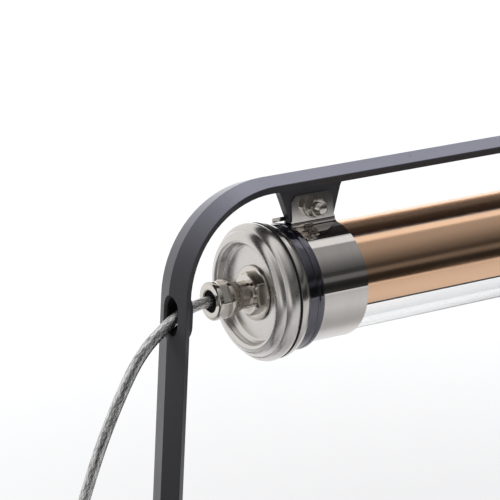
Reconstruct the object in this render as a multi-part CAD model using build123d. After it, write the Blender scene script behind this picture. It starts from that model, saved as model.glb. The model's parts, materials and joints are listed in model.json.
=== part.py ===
from build123d import *
import os
from math import atan2, cos, degrees, pi, radians, sin, sqrt, tan

# Table lamp: a glass tube with a copper reflector hangs in two steel collars under a bent steel arch.
# The tube turns about its own axis in the collars. X runs along the tube, Z is up, the table is Z = 0.

# Overall arrangement
axis_height = 250.0        # tube axis above the table
seam_span = 360.0          # between the two cap seams
running_fit = 0.1          # radial play of the turning tube in its collars
nest_fit = 0.05            # radial play between pieces of one body
free_gap = 0.35            # axial play between turning and fixed faces

# Glass tube
glass_radius = 40.0
glass_wall = 3.0
glass_inset = 1.5          # glass end behind the seam

# End caps, measured from the seam; outwards is negative
cap_radius = 50.0
cap_depth = 16.0
cap_wall = 1.4
rim_round = 6.5            # section of the rolled rim
rim_crest = 4.6            # rim's widest line in front of the seam
crease_setback = 10.7      # groove between the rim and the crown
crown_edge = 39.2          # radius of the crown's foremost line
crown_radius = 2.8
disc_setback = 7.0         # flat centre disc in front of the seam
disc_radius = 34.2
well_step = 2.6            # depth of the bevel round the disc
gasket_thickness = 0.9
gasket_radius = 49.4
ring_width = 7.9
ring_front_radius = 49.0
ring_back_radius = 46.9
ring_bulge = 0.7

# Rubber seals
seal_width = 15.1
seal_radius = 46.0
seal_groove_radius = 44.6
seal_rib_width = 6.6
seal_edge = 0.9

# Collars
collar_width = 37.9
liner_thickness = 0.9
liner_margin = 0.6
band_thickness = 1.5
ear_top = 65.2             # above the tube axis
ear_margin = 0.8
ear_corner = 4.2
ear_bend = 4.0
finger_length = 10.5       # tail on the rear ear
finger_height = 3.2
finger_lift = 0.9

# Collar bolts
bolt_radius = 4.0
bolt_rise = 55.4           # bolt axis above the tube axis
bolt_hole_play = 0.2
bolt_head_flats = 13.0
bolt_head_height = 5.3
bolt_tip = 5.4             # thread standing out of the nut
bolt_tip_chamfer = 0.9
washer_radius = 8.0
washer_thickness = 1.6
nut_height = 6.5
hexagon_chamfer = 30.0     # degrees, on nuts, bolt heads and the gland

# Arch
bar_half_width = 17.1
bar_ridge = 4.4            # rise of the ridge over the outer edges
bar_side = 5.9             # depth of the slanted sides
bar_taper = 4.1            # how far the sides slant in
bar_edge = 0.5
bar_rise = 82.0            # ridge of the top bar above the tube axis
leg_reach = 79.5           # seam to the leg's ridge at axis height
leg_splay = 6.2            # degrees
bend_radius = 82.6
lug_thickness = 6.0
lug_half_width = 27.6
lug_tip_half_width = 18.6
lug_tip_rise = 45.6
lug_fillet = 7.0
lug_foot = 8.5             # length of bar under each fillet
lug_sink = 1.5

# Cable slot in the left leg
slot_height = 27.0
slot_width = 16.5
slot_drop = 5.2            # slot centre below the tube axis
slot_rim = 2.2
slot_rim_depth = 4.2
boss_margin = 3.4
boss_height = 3.0
bush_wall = 1.5
bush_recess = 5.0

# Feet
pad_radius = 10.0
pad_height = 3.0
pad_inset = 15.0
foot_length = 200.0
foot_width = 40.0
foot_height = 12.0
foot_chamfer = 3.0
foot_corner = 6.0
screw_radius = 2.0
screw_length = 26.0
screw_head_radius = 4.0
screw_spacing = 18.0
screw_play = 0.1

# Cable gland on the left cap
gland_thread_radius = 10.0
gland_washer_radius = 19.4
gland_washer_thickness = 0.6
gland_flange_radius = 20.0
gland_flange_thickness = 1.4
gland_flange_edge = 0.4
gland_base_flats = 28.4
gland_base_length = 5.5
gland_base_turn = 30.0      # degrees, so that a corner of the base points up
gland_neck_radius = 10.0
gland_neck_length = 8.0
gland_sleeve_radius = 10.6
gland_sleeve_length = 6.5
gland_ring_radius = 14.0
gland_ring_length = 5.5
gland_ring_edge = 0.7
gland_hex_flats = 24.0
gland_hex_length = 7.0
gland_nose_length = 3.6
gland_nose_round = 3.4
gland_mouth_radius = 8.0
gland_bore_wall = 1.5      # wall round the cable inside the gland
gland_lock_flats = 26.0
gland_lock_thickness = 4.5
gland_seal_recess = 1.0

# Inside the glass
plate_thickness = 3.0
plate_setback = 3.0        # plate behind the seam
plate_play = 0.2
reflector_wall = 0.8
reflector_droop = 23.0     # degrees the reflector reaches below the axis
channel_width = 26.0
channel_height = 12.0
channel_wall = 1.6
channel_rise = 9.0
board_width = 16.0
board_thickness = 1.2
board_margin = 25.0
chip_length = 3.5
chip_width = 2.8
chip_height = 0.7
chip_pitch = 20.0
driver_length = 140.0
driver_width = 20.0
driver_height = 9.0
terminal_length = 14.0
terminal_width = 18.0
terminal_height = 14.0

# Cord, measured from the table
cord_diameter = 8.4
coil_turn_gap = 0.6
coil_layer_gap = 0.5
coil_radius = 54.0
coil_run = 20.0            # straight cord between the switch's relief and the loops
coil_in_quarters = 9       # first layer, spiralling in
coil_climb_quarters = 2
coil_out_quarters = 10     # second layer, spiralling out
table_clearance = 1.4
tie_width = 12.0
tie_thickness = 1.0
tie_play = 0.9
tie_floor = 0.1

# Switch on the cord
switch_length = 54.0
switch_width = 24.0
switch_height = 21.0
switch_floor = 0.2
switch_split = 11.0
switch_wall = 2.0
switch_corner = 8.0
switch_relief_length = 20.0
switch_relief_radius = 5.4
rocker_length = 21.0
rocker_width = 12.0
rocker_height = 6.5
rocker_tilt = 6.0          # degrees at rest
rocker_proud = 1.2
rocker_play = 0.8
rocker_pin_radius = 1.5
rocker_pin_length = 2.4

# Plug
plug_radius = 13.6
plug_length = 36.0
plug_waist_radius = 11.0
plug_waist_swell = 1.0
plug_back_step = 1.0
plug_round = 3.0
relief_length = 30.0
relief_radius = 7.5
relief_lip = 0.3           # relief over the cord at its thin end
pin_radius = 2.4
pin_length = 19.0
pin_spacing = 19.0

# Worked-out places
half_span = seam_span / 2
cord_radius = cord_diameter / 2
clamp_ring_start = gasket_thickness
seal_start = clamp_ring_start + ring_width
collar_start = seal_start + seal_width + free_gap
collar_end = collar_start + collar_width
collar_middle = (collar_start + collar_end) / 2
liner_radius = glass_radius + running_fit
reflector_radius = glass_radius - glass_wall - nest_fit
band_inner = liner_radius + liner_thickness
band_outer = band_inner + band_thickness
ear_inner = lug_thickness / 2
ear_outer = ear_inner + band_thickness
bar_depth = bar_ridge + bar_side
foot_top = pad_height + foot_height
splay = radians(leg_splay)
gland_seat = -disc_setback
gland_flange_start = gland_seat - gland_washer_thickness
gland_base_start = gland_flange_start - gland_flange_thickness
gland_neck_start = gland_base_start - gland_base_length
gland_sleeve_start = gland_neck_start - gland_neck_length
gland_ring_start = gland_sleeve_start - gland_sleeve_length
gland_hex_start = gland_ring_start - gland_ring_length
gland_nose_start = gland_hex_start - gland_hex_length
gland_end = gland_nose_start - gland_nose_length
gland_seal_front = gland_end + gland_seal_recess
gland_bore_radius = cord_radius + gland_bore_wall
plate_inner = plate_setback + plate_thickness
cord_table = table_clearance + cord_radius

# Route of the hanging cord, from the gland through the slot, down to the switch on the table
cord_exit = (-half_span + gland_seal_front, 0.0, axis_height)
cord_points = [
    cord_exit,
    (-240.0, 0.0, 250.0),
    (-262.0, 0.0, 242.5),
    (-282.0, 0.0, 222.0),
    (-300.5, 0.0, 191.5),
    (-318.5, 0.0, 160.0),
    (-333.0, 0.0, 126.0),
    (-343.5, 4.0, 92.0),
    (-350.5, 16.0, 59.0),
    (-354.5, 36.0, 32.0),
    (-356.0, 60.0, 14.0),
    (-356.0, 84.0, 5.6),
    (-356.0, 100.0, 5.6),
]


def save(name, shape):
    export_step(shape, f"parts/{name}.step")


def turned(*segments):
    """Solid of revolution about the tube axis from an outline of (along, radius) segments."""
    face = make_face(Curve() + list(segments))
    return revolve(face, axis=Axis.X)


def turned_polygon(*points):
    return turned(Polyline(*points, close=True))


def at_left_end(shape):
    return Pos(-half_span, 0, axis_height) * shape


def at_both_ends(shape):
    left = at_left_end(shape)
    return left, mirror(left, about=Plane.YZ)


def rod_along_x(radius, start, length):
    return extrude(Plane((start, 0, 0), x_dir=(0, 1, 0), z_dir=(1, 0, 0)) * Circle(radius), length)


def rim_radius(setback):
    """Outer radius of the rolled rim at a distance in front of the seam."""
    return cap_radius - rim_round + sqrt(rim_round ** 2 - (setback - rim_crest) ** 2)


def end_cap(hole_radius):
    """Pressed dish: rolled rim, groove, rounded crown, bevelled well and a flat centre disc."""
    well_radius = crown_edge - crown_radius
    well_floor = disc_setback + well_step
    crown_centre = cap_depth - crown_radius
    inner_crown = crown_radius - cap_wall
    inner_well = well_radius + cap_wall
    diagonal = sqrt(0.5)
    crease = Vector(-crease_setback, rim_radius(crease_setback))
    inner_crease = crease + Vector(cap_wall, -cap_wall) * 1.2 * diagonal
    rim_end = rim_radius(0)
    inner_end = rim_end - cap_wall / diagonal
    return turned(
        Polyline((-disc_setback, hole_radius), (-disc_setback, disc_radius), (-well_floor, well_radius),
                 (-crown_centre, well_radius)),
        ThreePointArc((-crown_centre, well_radius),
                      (-crown_centre - crown_radius * diagonal, crown_edge - crown_radius * diagonal),
                      (-cap_depth, crown_edge)),
        TangentArc((-cap_depth, crown_edge), crease, tangent=(0, 1)),
        ThreePointArc(crease, (-rim_crest, cap_radius), (0, rim_end)),
        Line((0, rim_end), (0, inner_end)),
        ThreePointArc((0, inner_end), (-rim_crest, cap_radius - cap_wall), inner_crease),
        TangentArc((-cap_depth + cap_wall, crown_edge), inner_crease, tangent=(0, 1)),
        ThreePointArc((-cap_depth + cap_wall, crown_edge),
                      (-crown_centre - inner_crown * diagonal, crown_edge - inner_crown * diagonal),
                      (-crown_centre, inner_well)),
        Polyline((-crown_centre, inner_well), (-well_floor + cap_wall / 2, inner_well),
                 (-disc_setback + cap_wall, disc_radius + cap_wall / 2),
                 (-disc_setback + cap_wall, hole_radius), (-disc_setback, hole_radius)),
    )


def clamp_ring():
    """Rolled ring behind the seam, rounded down towards the rubber seal."""
    start = clamp_ring_start
    end = seal_start
    bore = glass_radius + nest_fit
    middle = ((start + end) / 2, (ring_front_radius + ring_back_radius) / 2 + ring_bulge)
    return turned(
        Polyline((end, ring_back_radius), (end, bore), (start, bore), (start, ring_front_radius)),
        ThreePointArc((start, ring_front_radius), middle, (end, ring_back_radius)),
    )


def rubber_seal():
    """Two round-edged ribs with a groove between them."""
    start = seal_start
    end = seal_start + seal_width
    bore = glass_radius + nest_fit
    groove_start = start + seal_rib_width
    groove_end = end - seal_rib_width
    crown = seal_radius
    edge = seal_edge
    return turned_polygon(
        (start, bore), (start, crown - edge), (start + edge, crown), (groove_start - edge, crown),
        (groove_start, seal_groove_radius), (groove_end, seal_groove_radius), (groove_end + edge, crown),
        (end - edge, crown), (end, crown - edge), (end, bore),
    )


def collar():
    """Steel band bent up into two bolted ears that clasp the lug of the arch."""
    across = Plane((collar_start, 0, 0), x_dir=(0, 1, 0), z_dir=(1, 0, 0))
    ear = Pos((ear_inner + ear_outer) / 2, ear_top / 2) * Rectangle(band_thickness, ear_top)
    outer = Circle(band_outer) + ear + mirror(ear, about=Plane.YZ)
    corners = [v for v in outer.vertices()
               if 0 < v.Y < ear_top - band_thickness and abs(v.X) > ear_inner + band_thickness / 2]
    outer = fillet(corners, ear_bend)
    gap = Rectangle(lug_thickness, 4 * band_outer, align=(Align.CENTER, Align.MIN))
    band = extrude(across * (outer - Circle(band_inner) - gap), collar_width)
    left = collar_start
    right = collar_end
    shoulder = band_outer + ear_bend
    side = Polyline(
        (left, -2 * band_outer), (right, -2 * band_outer), (right, shoulder),
        (right - ear_margin, shoulder + ear_margin),
        (right - ear_margin, ear_top - ear_corner), (right - ear_margin - ear_corner, ear_top),
        (left + ear_margin + ear_corner, ear_top), (left + ear_margin, ear_top - ear_corner),
        (left + ear_margin, shoulder + ear_margin), (left, shoulder), close=True)
    band = band & extrude(Plane.XZ * make_face(side), 2 * band_outer, both=True)
    finger = Box(finger_length + 2 * ear_margin, band_thickness, finger_height,
                 align=(Align.MIN, Align.MIN, Align.MIN))
    band = band + Pos(left - finger_length, ear_inner, seal_radius + finger_lift) * finger
    hole = Cylinder(bolt_radius + bolt_hole_play, 4 * ear_outer, rotation=(90, 0, 0))
    return band - Pos(collar_middle, 0, bolt_rise) * hole


def collar_liner():
    length = collar_width - 2 * liner_margin
    ring = Circle(band_inner - nest_fit) - Circle(liner_radius)
    ring = ring - Rectangle(lug_thickness, 4 * band_inner, align=(Align.CENTER, Align.MIN))
    return extrude(Plane((collar_start + liner_margin, 0, 0), x_dir=(0, 1, 0), z_dir=(1, 0, 0)) * ring, length)


def chamfered_hexagon(flats, length, turn=0.0):
    """Hexagon standing on its flat side, with its far corners turned off to the inscribed circle."""
    prism = extrude(RegularPolygon(flats / 2, 6, major_radius=False, rotation=turn), length)
    corner = flats / sqrt(3)
    drop = (corner - flats / 2) * tan(radians(hexagon_chamfer))
    cone = make_face(Polyline((0, 0), (corner, 0), (corner, length - drop), (flats / 2, length), (0, length),
                              close=True))
    return prism & revolve(Plane.XZ * cone, axis=Axis.Z)


def bolt_set():
    """Bolt with its head at the back, two washers and a nut in front with the bolt's tip standing out."""
    middle = Pos(collar_middle, 0, bolt_rise)
    front = Plane((0, -ear_outer, 0), x_dir=(1, 0, 0), z_dir=(0, -1, 0)) * Pos(0, 0, washer_thickness)
    back = Plane((0, ear_outer, 0), x_dir=(1, 0, 0), z_dir=(0, 1, 0)) * Pos(0, 0, washer_thickness)
    shank_length = 2 * (ear_outer + washer_thickness) + nut_height + bolt_tip
    shank = extrude(Circle(bolt_radius), shank_length)
    shank = chamfer(shank.edges().sort_by(Axis.Z)[-1], bolt_tip_chamfer)
    shank = Plane((0, ear_outer + washer_thickness, 0), x_dir=(1, 0, 0), z_dir=(0, -1, 0)) * shank
    head = back * chamfered_hexagon(bolt_head_flats, bolt_head_height)
    washer = extrude(Circle(washer_radius) - Circle(bolt_radius + nest_fit), -washer_thickness)
    nut = chamfered_hexagon(bolt_head_flats, nut_height) - extrude(Circle(bolt_radius + nest_fit), nut_height)
    return middle * (shank + head), [middle * (front * washer), middle * (back * washer)], middle * (front * nut)


def leg_ridge(height):
    """X of the left leg's ridge at a height over the table."""
    return -half_span - leg_reach + (height - axis_height) * tan(splay)


def leg_plane(height, depth=0.0):
    """Plane on the left leg's ridge, facing out, with its Y running down the leg."""
    out = (-cos(splay), 0, sin(splay))
    origin = (leg_ridge(height) - out[0] * depth, 0, height - out[2] * depth)
    return Plane(origin, x_dir=(0, 1, 0), z_dir=out)


def obround(margin=0.0):
    return SlotOverall(slot_height + 2 * margin, slot_width + 2 * margin, rotation=90)


def lug():
    """Tapered web under the top bar that a collar's ears clasp."""
    under = bar_rise - bar_depth
    reach = lug_half_width + lug_foot
    outline = Polyline(
        (-reach, under + lug_sink), (reach, under + lug_sink), (reach, under), (lug_half_width, under),
        (lug_tip_half_width, lug_tip_rise), (-lug_tip_half_width, lug_tip_rise), (-lug_half_width, under),
        (-reach, under), close=True)
    face = make_face(outline)
    roots = [v for v in face.vertices() if abs(abs(v.X) - lug_half_width) < 0.01]
    face = fillet(roots, lug_fillet)
    web = extrude(Plane.XZ * face, lug_thickness / 2, both=True)
    hole = Cylinder(bolt_radius + bolt_hole_play, 4 * lug_thickness, rotation=(90, 0, 0))
    return Pos(collar_middle, 0, 0) * web - Pos(collar_middle, 0, bolt_rise) * hole


def foot_screw_places():
    x = leg_ridge(foot_top) + bar_depth / 2 / cos(splay) + screw_length / 4 * tan(splay)
    return [(x, -screw_spacing / 2), (x, screw_spacing / 2)]


def frame_arch():
    """One bar of gabled section bent into an arch, with two lugs and the cable slot."""
    low = foot_top - 2 * bar_depth
    ridge_top = axis_height + bar_rise
    foot_left = (leg_ridge(low), 0, low)
    corner_left = (leg_ridge(ridge_top), 0, ridge_top)
    path = FilletPolyline(foot_left, corner_left, (-corner_left[0], 0, ridge_top), (-foot_left[0], 0, low),
                          radius=bend_radius)
    inner = bar_half_width - bar_taper
    outline = make_face(Polyline((0, 0), (bar_half_width, -bar_ridge), (inner, -bar_depth), (-inner, -bar_depth),
                                 (-bar_half_width, -bar_ridge), close=True))
    outline = fillet(outline.vertices(), bar_edge)
    start = Plane(foot_left, x_dir=(0, 1, 0), z_dir=(sin(splay), 0, cos(splay)))
    arch = sweep(start * outline, path=path)
    for web in at_both_ends(lug()):
        arch = arch + web
    slot_centre = axis_height - slot_drop
    arch = arch + extrude(leg_plane(slot_centre, bar_depth) * obround(boss_margin), -boss_height)
    arch = arch - extrude(leg_plane(slot_centre) * obround(), 2 * bar_depth, both=True)
    rim = loft([leg_plane(slot_centre, -slot_rim) * obround(slot_rim + slot_rim * slot_rim / slot_rim_depth),
                leg_plane(slot_centre, slot_rim_depth) * obround()])
    arch = arch - rim
    arch = arch - Pos(0, 0, foot_top) * Box(4 * seam_span, 4 * bar_half_width, 8 * bar_depth,
                                            align=(Align.CENTER, Align.CENTER, Align.MAX))
    for x, y in foot_screw_places():
        for side in (1, -1):
            arch = arch - Pos(side * x, y, foot_top) * Cylinder(screw_radius + screw_play, 2 * screw_length)
    return arch


def cable_bush():
    plane = leg_plane(axis_height - slot_drop, bush_recess)
    ring = obround(-nest_fit) - obround(-bush_wall)
    return extrude(plane * ring, -(bar_depth + boss_height - bush_recess))


def foot():
    """Cross bar under a leg, chamfered on top, with countersunk holes from below."""
    x = foot_screw_places()[0][0]
    bar = extrude(RectangleRounded(foot_width, foot_length, foot_corner), foot_height)
    bar = chamfer(bar.faces().sort_by(Axis.Z)[-1].edges(), foot_chamfer)
    bar = Pos(x, 0, pad_height) * bar
    for hole_x, hole_y in foot_screw_places():
        bar = bar - Pos(hole_x, hole_y, pad_height) * foot_screw(screw_play)
    return bar


def foot_screw(play=0.0):
    """Countersunk screw standing on its head."""
    shank = screw_radius + play
    head = screw_head_radius + play
    cone = head - shank
    profile = make_face(Polyline((0, 0), (head, 0), (shank, cone), (shank, screw_length), (0, screw_length),
                                 close=True))
    return revolve(Plane.XZ * profile, axis=Axis.Z)


def along_x(start, direction=1):
    """Plane across the tube axis, facing along it."""
    return Plane((start, 0, 0), x_dir=(0, 1, 0), z_dir=(direction, 0, 0))


def gland_body():
    """Thread through the cap's disc, round flange, hexagon base with a corner up, and a stepped neck."""
    thread_end = gland_seat + cap_wall + gland_lock_thickness
    stem = turned_polygon(
        (thread_end, 0), (thread_end, gland_thread_radius), (gland_flange_start, gland_thread_radius),
        (gland_flange_start, gland_flange_radius), (gland_base_start + gland_flange_edge, gland_flange_radius),
        (gland_base_start, gland_flange_radius - gland_flange_edge), (gland_base_start, gland_neck_radius),
        (gland_sleeve_start, gland_neck_radius), (gland_sleeve_start, gland_sleeve_radius),
        (gland_ring_start, gland_sleeve_radius), (gland_ring_start, gland_neck_radius),
        (gland_hex_start, gland_neck_radius), (gland_hex_start, 0))
    base = chamfered_hexagon(gland_base_flats, gland_base_length, gland_base_turn)
    bore = extrude(along_x(gland_hex_start) * Circle(gland_bore_radius), thread_end - gland_hex_start)
    return stem + along_x(gland_base_start, -1) * base - bore


def gland_dome_nut():
    """Union nut: round back ring, hexagon and a round nose with the cable mouth."""
    ring = rod_along_x(gland_ring_radius, gland_ring_start, -gland_ring_length)
    ring = chamfer(ring.edges().filter_by(GeomType.CIRCLE), gland_ring_edge)
    hexagon = RegularPolygon(gland_hex_flats / 2, 6, major_radius=False)
    hexagon = extrude(along_x(gland_hex_start, -1) * hexagon, gland_hex_length)
    nose = rod_along_x(gland_ring_radius, gland_nose_start, -gland_nose_length)
    nose = fillet(nose.edges().sort_by(Axis.X)[0], gland_nose_round)
    thread = rod_along_x(gland_neck_radius + nest_fit, gland_ring_start, -gland_ring_length)
    mouth = rod_along_x(gland_mouth_radius, gland_end, gland_hex_start - gland_end)
    return ring + hexagon + nose - thread - mouth


def gland_seal():
    ring = Circle(gland_mouth_radius - nest_fit) - Circle(cord_radius + nest_fit)
    return extrude(along_x(gland_seal_front) * ring, gland_hex_start - gland_seal_front)


def gland_ring(outer, start, thickness):
    ring = outer - Circle(gland_thread_radius + nest_fit)
    return extrude(Plane((start, 0, 0), x_dir=(0, 1, 0), z_dir=(1, 0, 0)) * ring, thickness)


def end_plate(hole_radius):
    disc = Circle(glass_radius - glass_wall - plate_play)
    if hole_radius > 0:
        disc = disc - Circle(hole_radius)
    return extrude(Plane((plate_setback, 0, 0), x_dir=(0, 1, 0), z_dir=(1, 0, 0)) * disc, plate_thickness)


def inner_length():
    return seam_span - 2 * plate_inner


def across_middle(x=0.0):
    return Plane((x, 0, axis_height), x_dir=(0, 1, 0), z_dir=(1, 0, 0))


def reflector():
    """Open half-round sheet, wrapped over the top of the tube."""
    droop = radians(reflector_droop)
    ring = Circle(reflector_radius) - Circle(reflector_radius - reflector_wall)
    reach = 2 * reflector_radius
    wedge = make_face(Polyline((0, 0), (reach * cos(droop), -reach * sin(droop)), (reach, -2 * reach),
                               (-reach, -2 * reach), (-reach * cos(droop), -reach * sin(droop)), close=True))
    return extrude(across_middle() * (ring - wedge), inner_length() / 2, both=True)


def led_channel():
    outer = Pos(0, channel_rise) * Rectangle(channel_width, channel_height, align=(Align.CENTER, Align.MIN))
    inner_width = channel_width - 2 * channel_wall
    inner = Pos(0, channel_rise + channel_wall) * Rectangle(inner_width, channel_height,
                                                            align=(Align.CENTER, Align.MIN))
    return extrude(across_middle() * (outer - inner), inner_length() / 2, both=True)


def led_board_length():
    return inner_length() - 2 * board_margin


def led_board():
    board = Pos(0, channel_rise) * Rectangle(board_width, board_thickness, align=(Align.CENTER, Align.MAX))
    return extrude(across_middle() * board, led_board_length() / 2, both=True)


def led_chips():
    count = int(led_board_length() / chip_pitch)
    underside = axis_height + channel_rise - board_thickness
    chip = Box(chip_length, chip_width, chip_height, align=(Align.CENTER, Align.CENTER, Align.MAX))
    return [Pos((i - (count - 1) / 2) * chip_pitch, 0, underside) * chip for i in range(count)]


def led_driver():
    floor = axis_height + channel_rise + channel_wall
    return Pos(0, 0, floor) * Box(driver_length, driver_width, driver_height,
                                  align=(Align.CENTER, Align.CENTER, Align.MIN))


def tangent_tube(path, section_length):
    """Round tube along a path; prints its volume beside section times length."""
    start = path.position_at(0)
    tube = sweep(Plane(start, z_dir=path.tangent_at(0)) * Circle(cord_radius), path=path)
    expected = pi * cord_radius ** 2 * section_length
    print(f"cord tube: length {section_length:.1f} mm, volume {tube.volume:.0f} of {expected:.0f} mm3")
    return tube


def cord_lead():
    points = [Vector(*p) for p in cord_points]
    radii = []
    for before, here, after in zip(points, points[1:], points[2:]):
        turn = radians((here - before).get_angle(after - here))
        shorter = min((here - before).length, (after - here).length)
        radii.append(0.45 * shorter / tan(turn / 2))
    print("cord radii:", " ".join(f"{r:.0f}" for r in radii))
    path = FilletPolyline(*points, radius=radii)
    return tangent_tube(path, path.length)


def switch_end():
    x, y, z = cord_points[-1]
    return Vector(x, y + switch_length + 2 * switch_relief_length, z)


def coil_stations():
    """Quarter-turn stations of the put-away loops: in along the table, up, and out again on top."""
    start = switch_end() + Vector(0, coil_run, 0)
    centre = start + Vector(coil_radius, 0, 0)
    turn_pitch = cord_diameter + coil_turn_gap
    layer_pitch = cord_diameter + coil_layer_gap
    reverse = coil_in_quarters + coil_climb_quarters / 2
    stations = []
    for quarter in range(coil_in_quarters + coil_climb_quarters + coil_out_quarters + 1):
        angle = pi - quarter * pi / 2
        inward = min(quarter, reverse) - max(quarter - reverse, 0)
        radius = coil_radius - turn_pitch * inward / 4
        climbed = min(max(quarter - coil_in_quarters, 0), coil_climb_quarters) / coil_climb_quarters
        place = centre + Vector(radius * cos(angle), radius * sin(angle), layer_pitch * climbed)
        heading = Vector(sin(angle), -cos(angle), 0)
        if 0 < climbed < 1:
            rise = layer_pitch / (coil_climb_quarters * radius * pi / 2)
            heading = (heading + Vector(0, 0, 1.5 * rise)).normalized()
        stations.append((place, heading))
    return stations


def biarc(here, there):
    """Two tangent arcs between two stations."""
    (p, t), (q, s) = here, there
    v = q - p
    a = 2 * (1 - t.dot(s))
    b = 2 * v.dot(t + s)
    c = -v.dot(v)
    if abs(a) < 1e-9:
        reach = -c / b
    else:
        reach = (-b + sqrt(b * b - 4 * a * c)) / (2 * a)
    joint = (p + q + (t - s) * reach) * 0.5
    between = (q - s * reach) - (p + t * reach)
    return [TangentArc(p, joint, tangent=t), TangentArc(joint, q, tangent=between)]


def cord_coil():
    stations = coil_stations()
    first, last = stations[0], stations[-1]
    pieces = [Line(first[0] - first[1] * coil_run, first[0])]
    for here, there in zip(stations, stations[1:]):
        pieces += biarc(here, there)
    pieces.append(Line(last[0], last[0] + last[1] * cord_diameter))
    path = Wire([edge for piece in pieces for edge in piece.edges()])
    samples = int(path.length / 2)
    points = [path.position_at(i / samples) for i in range(samples + 1)]
    apart = int(6 * cord_diameter / 2)
    least = min((points[i] - points[j]).length
                for i in range(len(points)) for j in range(i + apart, len(points)))
    print(f"coil: least gap to itself {least - cord_diameter:.2f} mm")
    return tangent_tube(path, path.length)


def coil_end():
    place, heading = coil_stations()[-1]
    return place + heading * cord_diameter


def cord_tie():
    """Strap round the two columns of turns on the coil's far side."""
    stations = coil_stations()
    centre = stations[0][0] + Vector(coil_radius, 0, 0)
    radii = [(stations[q][0] - centre).X for q in range(len(stations)) if q % 4 == 2]
    inner = min(radii) - cord_radius - tie_play
    outer = max(radii) + cord_radius + tie_play
    low = tie_floor + tie_thickness
    high = stations[-1][0].Z + cord_radius + tie_play / 3
    hole = Pos((inner + outer) / 2, (low + high) / 2) * Rectangle(outer - inner, high - low)
    band = offset(hole, tie_thickness) - hole
    plane = Plane((centre.X, centre.Y, 0), x_dir=(1, 0, 0), z_dir=(0, -1, 0))
    return extrude(plane * band, tie_width / 2, both=True)


def at_switch(shape):
    x, y, z = cord_points[-1]
    return Pos(x, y + switch_relief_length + switch_length / 2, 0) * shape


def switch_block(bottom, top):
    outline = RectangleRounded(switch_width, switch_length, switch_corner)
    return Pos(0, 0, bottom) * extrude(outline, top - bottom)


def switch_pocket(bottom, top):
    width = switch_width - 2 * switch_wall
    length = switch_length - 4 * switch_wall
    return Pos(0, 0, bottom) * extrude(RectangleRounded(width, length, switch_corner - switch_wall), top - bottom)


def switch_base():
    return switch_block(switch_floor, switch_split) - switch_pocket(cord_table + cord_radius, switch_split)


def rocker_axis_height():
    return switch_height - switch_wall - rocker_pin_radius


def switch_cover():
    """Upper shell with the rocker's window and its two pivot holes."""
    cover = switch_block(switch_split, switch_height)
    cover = chamfer(cover.faces().sort_by(Axis.Z)[-1].edges(), 2 * switch_wall / 3)
    window = Box(rocker_width + 2 * free_gap, rocker_length + 2 * rocker_play, 4 * switch_height)
    pivot = Cylinder(rocker_pin_radius + nest_fit, rocker_width + 2 * rocker_pin_length + 2 * free_gap,
                     rotation=(0, 90, 0))
    return cover - window - Pos(0, 0, rocker_axis_height()) * pivot


def switch_rocker():
    """Two-faced rocker on two stub pins, tipped towards its off side at rest."""
    half = rocker_length / 2
    top = switch_height - rocker_axis_height() + rocker_proud
    dip = half * tan(radians(rocker_tilt)) / 2
    outline = make_face(Polyline((-half, top), (0, top - dip), (half, top), (half, -rocker_height / 4),
                                 (half / 2, -rocker_height / 2), (-half / 2, -rocker_height / 2),
                                 (-half, -rocker_height / 4), close=True))
    plane = Plane((0, 0, 0), x_dir=(0, 1, 0), z_dir=(1, 0, 0))
    body = extrude(plane * outline, rocker_width / 2, both=True)
    pins = extrude(plane * Circle(rocker_pin_radius), rocker_width / 2 + rocker_pin_length, both=True)
    return Pos(0, 0, rocker_axis_height()) * Rot(rocker_tilt, 0, 0) * (body + pins)


def switch_relief():
    """Tapered sleeve on the cord at one end of the switch."""
    cone = make_face(Polyline((0, 0), (switch_relief_radius, 0),
                              (cord_radius + relief_lip, switch_relief_length), (0, switch_relief_length),
                              close=True))
    plane = Plane((0, switch_length / 2, cord_table), x_dir=(1, 0, 0), z_dir=(0, 1, 0))
    return plane * revolve(Plane.XZ * cone, axis=Axis.Z)


def at_plug(shape):
    end = coil_end()
    return Pos(end.X, end.Y, end.Z) * shape


def plug_relief():
    cone = make_face(Polyline((0, 0), (0, cord_radius + relief_lip), (relief_length, relief_radius),
                              (relief_length, 0), close=True))
    return revolve(cone, axis=Axis.X)


def plug_body():
    """Turned plug body with a waist to grip."""
    start = relief_length
    end = start + plug_length
    middle = (start + end) / 2
    outline = Curve() + [
        Polyline((start, 0), (start, relief_radius + plug_back_step)),
        ThreePointArc((start, relief_radius + plug_back_step), (start + plug_round, plug_waist_radius),
                      (middle, plug_waist_radius + plug_waist_swell)),
        Line((middle, plug_waist_radius + plug_waist_swell), (end - plug_round, plug_radius)),
        Polyline((end - plug_round, plug_radius), (end, plug_radius), (end, 0), (start, 0)),
    ]
    return revolve(make_face(outline), axis=Axis.X)


def plug_pins():
    end = relief_length + plug_length
    plane = Plane((end, 0, 0), x_dir=(0, 1, 0), z_dir=(1, 0, 0))
    pin = extrude(Circle(pin_radius), pin_length)
    pin = chamfer(pin.edges().sort_by(Axis.Z)[-1], pin_radius / 2)
    return [plane * Pos(side * pin_spacing / 2, 0, 0) * pin for side in (-1, 1)]


os.makedirs("parts", exist_ok=True)

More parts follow.
